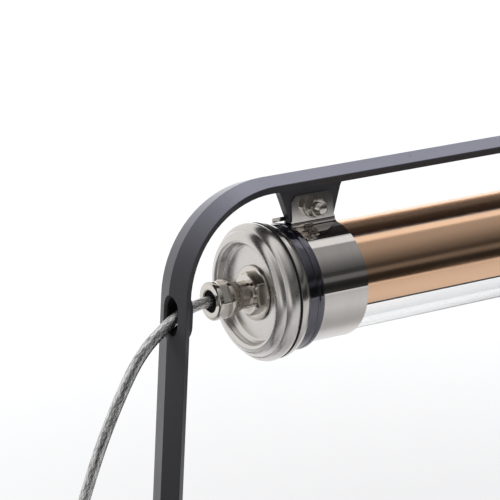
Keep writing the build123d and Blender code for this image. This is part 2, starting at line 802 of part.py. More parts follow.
# Stand
save("frame_arch", frame_arch())
save("cable_bush", cable_bush())
left_foot = foot()
save("left_foot", left_foot)
save("right_foot", mirror(left_foot, about=Plane.YZ))
left_screws = [Pos(x, y, pad_height) * foot_screw() for x, y in foot_screw_places()]
save("foot_screws", Compound(left_screws + [mirror(s, about=Plane.YZ) for s in left_screws]))
pad_x = foot_screw_places()[0][0]
pad_y = foot_length / 2 - pad_inset
pad = Cylinder(pad_radius, pad_height, align=(Align.CENTER, Align.CENTER, Align.MIN))
save("foot_pads", Compound([Pos(sx * pad_x, sy * pad_y, 0) * pad for sx in (-1, 1) for sy in (-1, 1)]))
for name, shape in (("collar", collar()), ("collar_liner", collar_liner())):
    for side, piece in zip(("left", "right"), at_both_ends(shape)):
        save(f"{side}_{name}", piece)
bolt, washers, nut = bolt_set()
save("collar_bolts", Compound(list(at_both_ends(bolt))))
save("collar_washers", Compound([piece for washer in washers for piece in at_both_ends(washer)]))
save("collar_nuts", Compound(list(at_both_ends(nut))))

# Turning tube
glass_length = seam_span - 2 * glass_inset
glass_ring = Circle(glass_radius) - Circle(glass_radius - glass_wall)
save("glass_tube", extrude(across_middle() * glass_ring, glass_length / 2, both=True))
save("left_end_cap", at_left_end(end_cap(gland_thread_radius + nest_fit)))
save("right_end_cap", mirror(at_left_end(end_cap(0.0)), about=Plane.YZ))
gasket = turned_polygon((0, glass_radius + nest_fit), (0, gasket_radius), (gasket_thickness, gasket_radius),
                        (gasket_thickness, glass_radius + nest_fit))
for name, shape in (("seam_gasket", gasket), ("clamp_ring", clamp_ring()), ("seal", rubber_seal())):
    for side, piece in zip(("left", "right"), at_both_ends(shape)):
        save(f"{side}_{name}", piece)
save("left_end_plate", at_left_end(end_plate(gland_bore_radius)))
save("right_end_plate", mirror(at_left_end(end_plate(0.0)), about=Plane.YZ))
save("reflector", reflector())
save("led_channel", led_channel())
save("led_board", led_board())
save("led_chips", Compound(led_chips()))
save("led_driver", led_driver())
terminal = Pos(plate_inner, 0, 0) * Box(terminal_length, terminal_width, terminal_height,
                                        align=(Align.MIN, Align.CENTER, Align.CENTER))
save("terminal_block", at_left_end(terminal))

# Gland and the cable inside it
save("gland_body", at_left_end(gland_body()))
save("gland_dome_nut", at_left_end(gland_dome_nut()))
save("gland_seal", at_left_end(gland_seal()))
save("gland_washer", at_left_end(gland_ring(Circle(gland_washer_radius), gland_seat, -gland_washer_thickness)))
lock_outline = RegularPolygon(gland_lock_flats / 2, 6, major_radius=False)
save("gland_lock_nut", at_left_end(gland_ring(lock_outline, gland_seat + cap_wall, gland_lock_thickness)))
save("inner_lead", at_left_end(rod_along_x(cord_radius, gland_seal_front, plate_inner - gland_seal_front)))

# Cord with its switch and plug
save("cord_lead", cord_lead())
save("cord_coil", cord_coil())
save("cord_tie", cord_tie())
save("switch_base", at_switch(switch_base()))
save("switch_cover", at_switch(switch_cover()))
save("switch_rocker", at_switch(switch_rocker()))
save("switch_relief_out", at_switch(switch_relief()))
save("switch_relief_in", at_switch(mirror(switch_relief(), about=Plane.XZ)))
save("plug_relief", at_plug(plug_relief()))
save("plug_body", at_plug(plug_body()))
save("plug_pins", Compound([at_plug(pin) for pin in plug_pins()]))
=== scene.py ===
import json
import bpy
import numpy as np
from math import cos, pi, radians, sin
from mathutils import Matrix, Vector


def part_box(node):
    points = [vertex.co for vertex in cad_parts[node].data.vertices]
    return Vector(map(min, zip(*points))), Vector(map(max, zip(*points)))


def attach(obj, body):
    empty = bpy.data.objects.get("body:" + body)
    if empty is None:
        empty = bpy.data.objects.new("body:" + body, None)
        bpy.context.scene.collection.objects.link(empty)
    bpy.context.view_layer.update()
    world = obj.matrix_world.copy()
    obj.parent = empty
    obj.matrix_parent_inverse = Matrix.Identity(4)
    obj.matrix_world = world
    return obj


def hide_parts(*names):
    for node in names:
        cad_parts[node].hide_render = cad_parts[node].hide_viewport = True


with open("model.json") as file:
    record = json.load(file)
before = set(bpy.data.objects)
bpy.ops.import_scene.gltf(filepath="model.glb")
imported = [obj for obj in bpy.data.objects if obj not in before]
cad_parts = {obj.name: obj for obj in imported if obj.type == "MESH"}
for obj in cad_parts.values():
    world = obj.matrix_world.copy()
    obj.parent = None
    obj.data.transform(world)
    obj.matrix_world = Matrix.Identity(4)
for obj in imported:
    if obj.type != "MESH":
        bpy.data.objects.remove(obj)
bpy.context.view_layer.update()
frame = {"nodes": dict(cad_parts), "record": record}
nodes = frame["nodes"]
slotOf = {part["node"]: part["material_slot"] for part in frame["record"]["subparts"]}
print("frame loaded:", len(nodes), "nodes")

mm = 0.001
axisHeight = sum(corner[2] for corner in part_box("glass_tube")) / 2   # tube axis over the table
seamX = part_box("left_end_cap")[1][0]                                 # left cap's seam

# Camera: right, down and ahead come from azimuth, pitch and roll
viewSetup = dict(place=(-1.17578, -1.49665, 0.68373), azimuth=56.604, pitch=12.652, roll=-2.647,
                 lens=187.2, sensor=36.0, farthest=60.0)


def makeCamera(setup):
    az, dip, roll = (radians(setup[key]) for key in ("azimuth", "pitch", "roll"))
    ahead = np.array([cos(az) * cos(dip), sin(az) * cos(dip), -sin(dip)])
    right = np.array([sin(az), -cos(az), 0.0])
    down = np.cross(ahead, right)
    right, down = cos(roll) * right - sin(roll) * down, sin(roll) * right + cos(roll) * down
    lens = bpy.data.cameras.new("photoLens")
    lens.lens, lens.sensor_width, lens.clip_end = setup["lens"], setup["sensor"], setup["farthest"]
    camera = bpy.data.objects.new("photoCamera", lens)
    turn = Matrix(np.column_stack([right, -down, -ahead]).tolist()).to_4x4()
    camera.matrix_world = Matrix.Translation(setup["place"]) @ turn
    bpy.context.scene.collection.objects.link(camera)
    bpy.context.scene.camera = camera


makeCamera(viewSetup)
print("camera set")


# Shader tools
def addNode(tree, kind, wires=None, **settings):
    node = tree.nodes.new("ShaderNode" + kind)
    for key, value in settings.items():
        setattr(node, key, value)
    for key, value in (wires or {}).items():
        if isinstance(value, bpy.types.NodeSocket):
            tree.links.new(value, node.inputs[key])
        else:
            node.inputs[key].default_value = value
    return node


def calc(tree, operation, first, second=0.0, third=0.0):
    return addNode(tree, "Math", {0: first, 1: second, 2: third}, operation=operation).outputs[0]


def scaled(tree, colour, gain):
    return addNode(tree, "VectorMath", {0: colour, "Scale": gain}, operation="SCALE").outputs[0]


def noise(tree, vector, scale, detail=3.0, roughness=0.55):
    wires = {"Vector": vector, "Scale": scale, "Detail": detail, "Roughness": roughness}
    return addNode(tree, "TexNoise", wires).outputs["Fac"]


def spread(tree, value, low, high, source=(0.0, 1.0)):
    # a value's range, as given by source, becomes low to high
    wires = {"Value": value, "From Min": source[0], "From Max": source[1], "To Min": low, "To Max": high}
    return addNode(tree, "MapRange", wires).outputs["Result"]


def blend(tree, factor, first, second):
    # two colours mixed; a plain number is a grey
    colours = [(value, value, value, 1) if isinstance(value, float) else value for value in (first, second)]
    wires = {"Factor": factor, "A": colours[0], "B": colours[1]}
    return addNode(tree, "Mix", wires, data_type="RGBA").outputs[2]


def startGroup(name, takes, gives):
    tree = bpy.data.node_groups.new(name, "ShaderNodeTree")
    for key, (kind, value) in takes.items():
        socket = tree.interface.new_socket(key, in_out="INPUT", socket_type="NodeSocket" + kind)
        if value is not None:
            socket.default_value = value
    for key, kind in gives.items():
        tree.interface.new_socket(key, in_out="OUTPUT", socket_type="NodeSocket" + kind)
    return tree, tree.nodes.new("NodeGroupInput").outputs, tree.nodes.new("NodeGroupOutput").inputs


# Polishing or brushing lines: a fine noise, with slower waves under it
grainSetup = dict(fineDetail=4.0, fineRoughness=0.65, fineShare=0.7, slowScale=0.11, slowDetail=2.0,
                  band=(0.3, 0.7))


def makeMetalGrain(s):
    tree, take, give = startGroup("metalGrain", {"Vector": ("Vector", None), "Lines": ("Float", 900.0)},
                                  {"Height": "Float", "Tone": "Float"})
    fine = noise(tree, take["Vector"], take["Lines"], s["fineDetail"], s["fineRoughness"])
    slow = noise(tree, take["Vector"], calc(tree, "MULTIPLY", take["Lines"], s["slowScale"]), s["slowDetail"])
    tree.links.new(calc(tree, "MULTIPLY_ADD", fine, s["fineShare"], slow), give["Height"])
    tree.links.new(spread(tree, slow, 0.0, 1.0, s["band"]), give["Tone"])
    return tree


# Handling: soft patches that change the gloss
handlingSetup = dict(patches=38.0, detail=5.0, roughness=0.6, band=(0.3, 0.7))


def makeHandledGloss(s):
    tree, take, give = startGroup("handledGloss", {"Vector": ("Vector", None), "Roughness": ("Float", 0.3),
                                                   "Change": ("Float", 0.05)}, {"Roughness": "Float"})
    patch = noise(tree, take["Vector"], s["patches"], s["detail"], s["roughness"])
    film = spread(tree, patch, -1.0, 1.0, s["band"])
    tree.links.new(calc(tree, "MULTIPLY_ADD", film, take["Change"], take["Roughness"]), give["Roughness"])
    return tree


# Tone: small specks and slow clouds that lighten or darken a colour
toneSetup = dict(specks=1500.0, speckDetail=2.0, clouds=24.0, cloudDetail=3.0)


def makeSpeckTone(s):
    tree, take, give = startGroup("speckTone", {"Vector": ("Vector", None), "Color": ("Color", (1, 1, 1, 1)),
                                                "Change": ("Float", 0.1)}, {"Color": "Color"})
    speck = noise(tree, take["Vector"], s["specks"], s["speckDetail"])
    cloud = noise(tree, take["Vector"], s["clouds"], s["cloudDetail"])
    both = calc(tree, "SUBTRACT", calc(tree, "ADD", speck, cloud), 1.0)
    gain = calc(tree, "MULTIPLY_ADD", both, take["Change"], 1.0)
    tree.links.new(scaled(tree, take["Color"], gain), give["Color"])
    return tree


# Moulded or sprayed skin: fine cells over a slower ripple
skinSetup = dict(cellShare=0.5, rippleScale=0.3, rippleDetail=2.0)


def makeCoatSkin(s):
    tree, take, give = startGroup("coatSkin", {"Vector": ("Vector", None), "Cells": ("Float", 1200.0)},
                                  {"Height": "Float"})
    cell = addNode(tree, "TexVoronoi", {"Vector": take["Vector"], "Scale": take["Cells"]}).outputs["Distance"]
    slower = calc(tree, "MULTIPLY", take["Cells"], s["rippleScale"])
    ripple = noise(tree, take["Vector"], slower, s["rippleDetail"])
    tree.links.new(calc(tree, "MULTIPLY_ADD", cell, s["cellShare"], ripple), give["Height"])
    return tree


# Braid: two families of slanted bands cross, and each square of the crossing shows the upper band
def makeBraidWeave():
    tree, take, give = startGroup("braidWeave", {"Vector": ("Vector", None), "Bands": ("Float", 12.0),
                                                 "Lay": ("Float", 0.6), "Wires": ("Float", 5.0)},
                                  {"Height": "Float", "Wire": "Float", "Upper": "Float"})
    parts = addNode(tree, "SeparateXYZ", {"Vector": take["Vector"]}).outputs
    slant = calc(tree, "MULTIPLY", parts["Y"], take["Lay"])
    families = [calc(tree, "MULTIPLY", calc(tree, lean, parts["X"], slant), take["Bands"])
                for lean in ("ADD", "SUBTRACT")]
    squares = calc(tree, "ADD", *(calc(tree, "FLOOR", family) for family in families))
    upper = calc(tree, "ABSOLUTE", calc(tree, "MODULO", squares, 2.0))
    across = [calc(tree, "FRACT", family) for family in families]
    ridges = [calc(tree, "SINE", calc(tree, "MULTIPLY", part, pi)) for part in across]
    strands = [calc(tree, "MULTIPLY", part, take["Wires"]) for part in across]
    wires = [calc(tree, "SINE", calc(tree, "MULTIPLY", strand, 2 * pi)) for strand in strands]
    for key, (low, high) in (("Height", ridges), ("Wire", wires)):
        mix = addNode(tree, "Mix", {"Factor": upper, "A": low, "B": high})
        tree.links.new(mix.outputs[0], give[key])
    tree.links.new(upper, give["Upper"])
    return tree


metalGrain, handledGloss = makeMetalGrain(grainSetup), makeHandledGloss(handlingSetup)
speckTone, coatSkin = makeSpeckTone(toneSetup), makeCoatSkin(skinSetup)
braidWeave = makeBraidWeave()
print("shader groups made")


# Finishes
def startFinish(name, **plain):
    material = bpy.data.materials.new(name)
    material.use_nodes = True
    tree = material.node_tree
    shader = tree.nodes["Principled BSDF"]
    for key, value in plain.items():
        socket = shader.inputs[key.replace("_", " ")]
        socket.default_value = (*value, 1.0) if isinstance(value, tuple) else value
    return material, tree, shader


def useGroup(tree, group, wires):
    return addNode(tree, "Group", wires, node_tree=group).outputs


def objectVector(tree):
    return addNode(tree, "TexCoord").outputs["Object"]


def axisVector(tree):
    # distance from the tube axis, place along it, and nothing round it, so that lines run round the tube
    centred = addNode(tree, "Mapping", {"Vector": objectVector(tree), "Location": (0, 0, -axisHeight)})
    parts = addNode(tree, "SeparateXYZ", {"Vector": centred.outputs[0]}).outputs
    flat = addNode(tree, "CombineXYZ", {"Y": parts["Y"], "Z": parts["Z"]}).outputs[0]
    out = addNode(tree, "VectorMath", {0: flat}, operation="LENGTH").outputs["Value"]
    return addNode(tree, "CombineXYZ", {"X": out, "Y": parts["X"]}).outputs[0]


def longVector(tree, shrink=0.03):
    # places along the tube drawn together, so that lines run along it
    return addNode(tree, "Mapping", {"Vector": objectVector(tree), "Scale": (shrink, 1, 1)}).outputs[0]


def smudge(tree, shader, setup):
    gloss = useGroup(tree, handledGloss, {"Vector": objectVector(tree), "Roughness": setup["roughness"],
                                          "Change": setup["smudge"]})
    tree.links.new(gloss["Roughness"], shader.inputs["Roughness"])


def roughen(tree, shader, height, setup):
    wires = {"Height": height, "Strength": setup["strength"], "Distance": setup["depth"]}
    tree.links.new(addNode(tree, "Bump", wires).outputs["Normal"], shader.inputs["Normal"])


def dressMetal(setup, vector):
    # metal of one colour, with polishing lines in its tone and its surface and handling in its gloss
    material, tree, shader = startFinish(setup["name"], Metallic=1.0)
    lines = useGroup(tree, metalGrain, {"Vector": vector(tree), "Lines": setup["lines"]})
    tone = spread(tree, lines["Tone"], 1.0 - setup["streak"], 1.0 + setup["streak"])
    tree.links.new(scaled(tree, setup["colour"], tone), shader.inputs["Base Color"])
    smudge(tree, shader, setup)
    roughen(tree, shader, lines["Height"], setup)
    return material


def dressCoat(setup):
    # paint, rubber or plastic: speckled colour, fine skin, patchy gloss
    material, tree, shader = startFinish(setup["name"], IOR=setup["ior"], Specular_Tint=setup["tint"])
    vector = objectVector(tree)
    tone = useGroup(tree, speckTone, {"Vector": vector, "Color": (*setup["colour"], 1.0),
                                      "Change": setup["change"]})
    skin = useGroup(tree, coatSkin, {"Vector": vector, "Cells": setup["cells"]})
    tree.links.new(tone["Color"], shader.inputs["Base Color"])
    smudge(tree, shader, setup)
    roughen(tree, shader, skin["Height"], setup)
    return material


def dressGlass(setup):
    # clear drawn glass: long faint waves along the tube
    material, tree, shader = startFinish(setup["name"], Transmission_Weight=1.0, IOR=setup["ior"],
                                         Base_Color=setup["colour"], Roughness=setup["roughness"])
    waves = useGroup(tree, metalGrain, {"Vector": longVector(tree, setup["shrink"]), "Lines": setup["lines"]})
    roughen(tree, shader, waves["Height"], setup)
    return material


def dressCable(setup):
    # silver braid with dark flecks under a clear sheath, which is the coat
    material, tree, shader = startFinish(setup["name"], Metallic=setup["metallic"], Coat_Weight=1.0,
                                         Coat_Roughness=setup["coatRoughness"])
    sheath = addNode(tree, "TexCoord").outputs["UV"]
    weave = useGroup(tree, braidWeave, {"Vector": sheath, "Bands": setup["bands"], "Lay": setup["lay"],
                                        "Wires": setup["wires"]})
    parts = addNode(tree, "SeparateXYZ", {"Vector": sheath}).outputs
    turn = calc(tree, "MULTIPLY", parts["X"], 2 * pi)
    bent = {"X": calc(tree, "COSINE", turn), "Y": calc(tree, "SINE", turn),        # so that no seam shows
            "Z": calc(tree, "MULTIPLY", parts["Y"], setup["fleckLength"])}
    fleck = noise(tree, addNode(tree, "CombineXYZ", bent).outputs[0], setup["flecks"],
                  roughness=setup["fleckRoughness"])
    # painted shade: the braid's colour is darker in the grooves between its bands and striped light and dark
    # along its wires
    wired = calc(tree, "MULTIPLY_ADD", weave["Wire"], setup["wireShare"],
                 spread(tree, weave["Height"], *setup["ridgeTone"]))
    shade = calc(tree, "MULTIPLY", wired, spread(tree, fleck, *setup["fleckTone"], setup["fleckBand"]))
    tree.links.new(blend(tree, shade, (*setup["dark"], 1), (*setup["light"], 1)), shader.inputs["Base Color"])
    tree.links.new(spread(tree, weave["Upper"], *setup["roughness"]), shader.inputs["Roughness"])
    roughen(tree, shader, wired, setup)
    return material


finishDefaults = dict(depth=0.0001, ior=1.5, tint=(1.0, 1.0, 1.0))
finishSetups = dict(
    arch_paint=dict(kind="coat", colour=(0.08, 0.078, 0.088), change=0.1, roughness=0.3, smudge=0.03,
                    cells=900.0, strength=0.12, depth=0.0002, ior=1.38),
    cap_steel=dict(kind="spun", colour=(0.69, 0.662, 0.635), lines=1500.0, streak=0.03, roughness=0.27,
                   smudge=0.03, strength=0.12),
    ring_steel=dict(kind="spun", colour=(0.66, 0.635, 0.60), lines=1800.0, streak=0.03, roughness=0.16,
                    smudge=0.03, strength=0.1),
    collar_steel=dict(kind="spun", colour=(0.64, 0.605, 0.58), lines=1400.0, streak=0.025, roughness=0.03,
                      smudge=0.015, strength=0.02),
    bolt_steel=dict(kind="plain", colour=(0.60, 0.565, 0.52), lines=2200.0, streak=0.05, roughness=0.2,
                    smudge=0.05, strength=0.15),
    gland_nickel=dict(kind="spun", colour=(0.64, 0.60, 0.55), lines=1700.0, streak=0.03, roughness=0.14,
                      smudge=0.03, strength=0.1),
    copper_mirror=dict(kind="drawn", colour=(0.88, 0.56, 0.36), lines=60.0, streak=0.05, roughness=0.1,
                       smudge=0.02, strength=0.12, depth=0.0004),
    clear_glass=dict(kind="glass", colour=(0.975, 0.985, 0.985), roughness=0.0, lines=90.0, shrink=0.04,
                     strength=0.03, depth=0.0003, ior=1.46),
    black_rubber=dict(kind="coat", colour=(0.004, 0.004, 0.006), change=0.4, roughness=0.08, smudge=0.03,
                      cells=1600.0, strength=0.03, ior=2.2, tint=(0.88, 0.86, 1.0)),
    # painted shade inside the gland's mouth and the cable's bush: black with almost no gloss
    mouth_black=dict(kind="coat", colour=(0.004, 0.004, 0.004), change=0.3, roughness=0.6, smudge=0.03,
                     cells=1500.0, strength=0.1, ior=1.15),
    grey_gasket=dict(kind="coat", colour=(0.03, 0.03, 0.031), change=0.3, roughness=0.5, smudge=0.05,
                     cells=1500.0, strength=0.2),
    dark_liner=dict(kind="coat", colour=(0.02, 0.02, 0.021), change=0.3, roughness=0.6, smudge=0.05,
                    cells=1300.0, strength=0.2),
    channel_alu=dict(kind="drawn", colour=(0.78, 0.79, 0.8), lines=900.0, streak=0.03, roughness=0.32,
                     smudge=0.04, strength=0.1),
    board_white=dict(kind="coat", colour=(0.82, 0.82, 0.79), change=0.06, roughness=0.35, smudge=0.04,
                     cells=1500.0, strength=0.08),
    chip_yellow=dict(kind="coat", colour=(0.75, 0.55, 0.09), change=0.15, roughness=0.42, smudge=0.04,
                     cells=2500.0, strength=0.1),
    driver_case=dict(kind="coat", colour=(0.62, 0.62, 0.61), change=0.1, roughness=0.45, smudge=0.05,
                     cells=1400.0, strength=0.2),
    terminal_white=dict(kind="coat", colour=(0.7, 0.7, 0.66), change=0.08, roughness=0.4, smudge=0.05,
                        cells=1600.0, strength=0.15),
    fitting_black=dict(kind="coat", colour=(0.016, 0.016, 0.017), change=0.4, roughness=0.38, smudge=0.06,
                       cells=1500.0, strength=0.25),
    pin_brass=dict(kind="plain", colour=(0.78, 0.66, 0.42), lines=2000.0, streak=0.04, roughness=0.24,
                   smudge=0.05, strength=0.15),
    cable_sheath=dict(kind="cable", bands=12.0, lay=0.42, wires=4.0, wireShare=0.18, ridgeTone=(0.25, 0.95),
                      flecks=2.6, fleckLength=1.4, fleckRoughness=0.7, fleckBand=(0.36, 0.6),
                      fleckTone=(0.12, 1.15), dark=(0.12, 0.12, 0.118), light=(0.95, 0.94, 0.93),
                      metallic=0.9, roughness=(0.22, 0.32), coatRoughness=0.12, strength=0.35, depth=0.0003),
)
lineVectors = dict(plain=objectVector, spun=axisVector, drawn=longVector)     # the way a metal's lines run
otherDresses = dict(coat=dressCoat, glass=dressGlass, cable=dressCable)


def makeFinish(slot, setup):
    setup = dict(finishDefaults, name=slot, **setup)
    kind = setup["kind"]
    return dressMetal(setup, lineVectors[kind]) if kind in lineVectors else otherDresses[kind](setup)


finishes = {slot: makeFinish(slot, setup) for slot, setup in finishSetups.items()}
finishOf = dict(slotOf, gland_seal="mouth_black", cable_bush="mouth_black")   # painted shade: both mouths get a black with almost no gloss, for the shade inside them
for name, node in nodes.items():
    for place in node.material_slots:
        place.material = finishes[finishOf[name]]
print("finishes made:", len(finishes))


# Surface tools: a shell is its points and its four-sided faces
def gridFaces(rows, cols, closeRows=False, closeCols=False):
    # every face joins a grid point to its neighbours in the next row and the next column
    i, j = np.meshgrid(np.arange(rows - (not closeRows)), np.arange(cols - (not closeCols)), indexing="ij")
    nextRow, nextCol = (i + 1) % rows, (j + 1) % cols
    corners = [i * cols + j, i * cols + nextCol, nextRow * cols + nextCol, nextRow * cols + j]
    return np.stack(corners, axis=-1).reshape(-1, 4)


def tubeFaces(rows, cols):
    # a grid closed round, with each end ring filled by faces that join its points across in pairs
    i = np.arange(cols // 2 - 1)
    lid = np.stack([i, i + 1, cols - 2 - i, cols - 1 - i], axis=-1)
    return np.concatenate([gridFaces(rows, cols, False, True), lid[:, ::-1], lid + (rows - 1) * cols])


def unit(vectors):
    return vectors / np.linalg.norm(vectors, axis=-1, keepdims=True)


def roundedOutline(corners, steps=7, lids=False):
    # each corner (along, out, rounding) of a closed outline becomes the arc that touches both its sides:
    # a rational quadratic whose middle weight is the cosine of half the turn; with lids it stays open between
    # its last and first corner
    corners = np.array(corners, float)
    place = corners[:, :2]
    back, ahead = np.roll(place, 1, axis=0) - place, np.roll(place, -1, axis=0) - place
    room = 0.5 * np.minimum(np.linalg.norm(back, axis=1), np.linalg.norm(ahead, axis=1))
    back, ahead = unit(back), unit(ahead)
    half = np.arccos(np.clip(-(back * ahead).sum(axis=1), -1, 1)) / 2
    reach = np.minimum(corners[:, 2] * np.tan(half), room)[:, None]
    start, end = (place + back * reach)[:, None], (place + ahead * reach)[:, None]
    t = np.linspace(0, 1, steps)[None, :, None]
    weight = np.cos(half)[:, None, None]
    total = (1 - t) ** 2 + 2 * weight * t * (1 - t) + t ** 2
    arcs = ((1 - t) ** 2 * start + 2 * weight * t * (1 - t) * place[:, None] + t ** 2 * end) / total
    rows = arcs.reshape(-1, 2)
    return rows[steps - 1:1 - steps] if lids else rows


def hexReach(angles, flats, turn=0.0, softness=60):
    # distance from the middle to a hexagon's side: half the flats over the largest of six cosines,
    # which a high power sum replaces, so that the corners are slightly round
    sides = np.maximum(np.cos(angles[:, None] - turn - np.arange(6) * pi / 3), 0)
    return flats / 2 / (sides ** softness).sum(axis=1) ** (1 / softness)


def turnedShell(outline, around, flats=None, turn=0.0, hexRows=None, lids=False):
    # an outline (along, out) swept round the X axis; rows marked as hexagon stop at its sides
    angles = np.arange(around) * 2 * pi / around
    out = np.repeat(outline[:, 1:], around, axis=1)
    if flats:
        cut = np.minimum(out, hexReach(angles, flats, turn)[None, :])
        rows = np.ones(len(outline), bool) if hexRows is None else hexRows
        out = np.where(rows[:, None], cut, out)
    along = np.repeat(outline[:, :1], around, axis=1)
    points = np.stack([along, out * np.sin(angles), out * np.cos(angles)], axis=-1)
    faces = tubeFaces(len(outline), around) if lids else gridFaces(len(outline), around, True, True)
    return points.reshape(-1, 3), faces


def insideOut(points, faces):
    # the sum of the corner tetrahedra's volumes is negative where a shell is inside out
    a, b, c, d = (points[faces[:, k]] for k in range(4))
    return (np.cross(a, b) * c).sum() + (np.cross(a, c) * d).sum() < 0


def addPiece(name, shells, slot, body, replaced=(), sharp=38.0, uv=None):
    points = np.concatenate([shell[0] for shell in shells])
    starts = np.cumsum([0] + [len(shell[0]) for shell in shells[:-1]])
    orders = [slice(None, None, -1 if insideOut(*shell) else 1) for shell in shells]
    faces = np.concatenate([shell[1][:, order] + start
                            for shell, start, order in zip(shells, starts, orders)])
    mesh = bpy.data.meshes.new(name)
    mesh.vertices.add(len(points))
    mesh.vertices.foreach_set("co", points.ravel())
    mesh.loops.add(faces.size)
    mesh.loops.foreach_set("vertex_index", faces.ravel().astype(np.int32))
    mesh.polygons.add(len(faces))
    mesh.polygons.foreach_set("loop_start", np.arange(len(faces), dtype=np.int32) * 4)
    mesh.update(calc_edges=True)
    mesh.validate()
    mesh.polygons.foreach_set("use_smooth", np.ones(len(mesh.polygons), bool))
    mesh.set_sharp_from_angle(angle=radians(sharp))
    if uv is not None:
        layer = mesh.uv_layers.new(name="sheath")
        layer.data.foreach_set("uv", uv[:, orders[0]].ravel())
    mesh.materials.append(finishes[slot])
    piece = bpy.data.objects.new(name, mesh)
    bpy.context.scene.collection.objects.link(piece)
    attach(piece, body)
    if replaced:
        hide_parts(*replaced)
    return piece


def atEnd(shell, side):
    # from millimetres off the seam, inwards positive, to the left or right end of the tube
    points = shell[0] * mm
    return points * (-side, 1, 1) + (side * -seamX, 0, axisHeight), shell[1]


def atAxis(shell):
    return shell[0] * mm + (0, 0, axisHeight), shell[1]


sides = dict(left=-1, right=1)

# End caps: flat disc, bevelled step, crown, groove and a rolled rim, with a thin wall behind
capSetup = dict(disc=7.0, discRadius=34.2, discEdge=2.0, step=2.6, stepEdge=1.0, well=36.4, depth=16.0,
                radius=50.0, crown=2.8, crownEdge=39.2, crease=10.7, rim=6.5, crest=4.6, wall=1.4, bevel=1.0,
                foldOut=1.3, foldAhead=1.1, nick=0.1, hole=dict(left=10.05, right=6.0), around=192,
                steps=dict(face=11, lip=12, crown=14, rim=22))


def capOutline(s, hole, lids):
    # the rim is an arc about its crest; the crown's outer arc leaves its foremost line squarely and ends in
    # the groove; inside the wall both arcs stop short of the fold
    steps, nick = s["steps"], s["nick"]
    floor, back, foremost = -s["disc"] - s["step"], -s["disc"] + s["wall"], s["wall"] - s["depth"]
    rimAxis, inner, lipFoot = s["radius"] - s["rim"], s["well"] + s["wall"], s["crown"] - s["depth"]
    creaseOut = rimAxis + (s["rim"] ** 2 - (s["crease"] - s["crest"]) ** 2) ** 0.5
    deep, wide = s["depth"] - s["crease"], creaseOut - s["crownEdge"]
    bow = (deep ** 2 + wide ** 2) / (2 * deep)                      # radius of the crown's outer arc
    crownTurn = np.linspace(0.0, np.arcsin(wide / bow), steps["crown"])[1:]
    rimTurn = np.linspace(np.arcsin((s["crest"] - s["crease"]) / s["rim"]), np.arcsin(s["crest"] / s["rim"]),
                          steps["rim"])
    lipTurn = np.linspace(0, pi / 2, steps["lip"])

    def flank(wall):
        bowed, rolled = bow - wall, s["rim"] - wall
        crownArc = np.column_stack([bow - s["depth"] - bowed * np.cos(crownTurn),
                                    s["crownEdge"] + bowed * np.sin(crownTurn)])
        rimArc = np.column_stack([rolled * np.sin(rimTurn) - s["crest"], rimAxis + rolled * np.cos(rimTurn)])
        return crownArc, rimArc

    crownOut, rimOut = flank(0.0)
    crownIn, rimIn = flank(s["wall"])
    crownIn = crownIn[crownIn[:, 1] < creaseOut - s["foldOut"]]
    rimIn = rimIn[rimIn[:, 0] > s["foldAhead"] - s["crease"]]
    face = roundedOutline([(-s["disc"], hole, nick), (-s["disc"], s["discRadius"], s["discEdge"]),
                           (floor, s["well"], s["stepEdge"]), (lipFoot, s["well"], nick),
                           (lipFoot, s["crownEdge"], nick)], steps["face"], True)[:-steps["face"]]
    lip = np.column_stack([lipFoot - s["crown"] * np.sin(lipTurn),
                           s["crownEdge"] - s["crown"] * np.cos(lipTurn)])
    behind = [(foremost, inner + s["bevel"]), (foremost + s["bevel"], inner), (floor + s["wall"] / 2, inner),
              (back, s["discRadius"] + s["wall"] / 2), (back, hole + nick)]
    rows = np.concatenate([face, lip, crownOut, rimOut[1:], rimIn[::-1], crownIn[::-1], behind])
    return rows if lids else np.concatenate([rows, [(back - nick, hole), (nick - s["disc"], hole)]])


for end, side in sides.items():
    whole = end == "right"                                              # without the gland's hole
    outline = capOutline(capSetup, capSetup["hole"][end], whole)
    shell = turnedShell(outline, capSetup["around"], lids=whole)
    addPiece(end + "CapDish", [atEnd(shell, side)], "cap_steel", "tube", [end + "_end_cap"])

# Rings behind the seam: gasket line, rolled clamp ring, ribbed rubber seal
ringAround = 160
ringSetups = dict(
    seam_gasket=dict(label="SeamLine", slot="grey_gasket",
                     corners=[(0, 40.05, 0.1), (0, 49.4, 0.2), (0.6, 49.4, 0.2), (0.6, 40.05, 0.1)]),
    clamp_ring=dict(label="ClampRing", slot="ring_steel",
                    corners=[(0.6, 40.05, 0.1), (0.6, 49.35, 0.3), (3.6, 49.4, 6.0), (6.4, 48.5, 6.0),
                             (8.8, 46.9, 0.5), (8.8, 40.05, 0.1)]),
    seal=dict(label="RibbedSeal", slot="black_rubber",
              corners=[(8.8, 40.05, 0.1), (8.8, 46.0, 1.2), (15.6, 46.0, 1.6), (16.6, 45.4, 0.8),
                       (17.4, 45.4, 0.8), (18.4, 46.0, 1.0), (21.2, 46.0, 1.2), (23.9, 43.2, 0.5),
                       (23.9, 40.05, 0.1)]),
)
for node, ring in ringSetups.items():
    shell = turnedShell(roundedOutline(ring["corners"]), ringAround)
    for end, side in sides.items():
        addPiece(end + ring["label"], [atEnd(shell, side)], ring["slot"], "tube", [f"{end}_{node}"])
print("caps and rings made")

# Gland: places along it are outwards from the seam
glandSetup = dict(threadEnd=1.1, flangeAt=7.6, baseAt=9.0, bevelAt=13.4, baseEnd=14.5, sleeveAt=22.5,
                  nutAt=29.0, hexAt=34.5, hexEnd=41.5, noseEnd=45.1, bore=5.7, thread=10.0, flange=20.0,
                  base=28.4, baseTurn=33.0, neck=10.0, sleeve=10.6, ring=14.0, hexagon=24.0, nose=3.4,
                  mouth=8.0, fit=0.1, around=144)


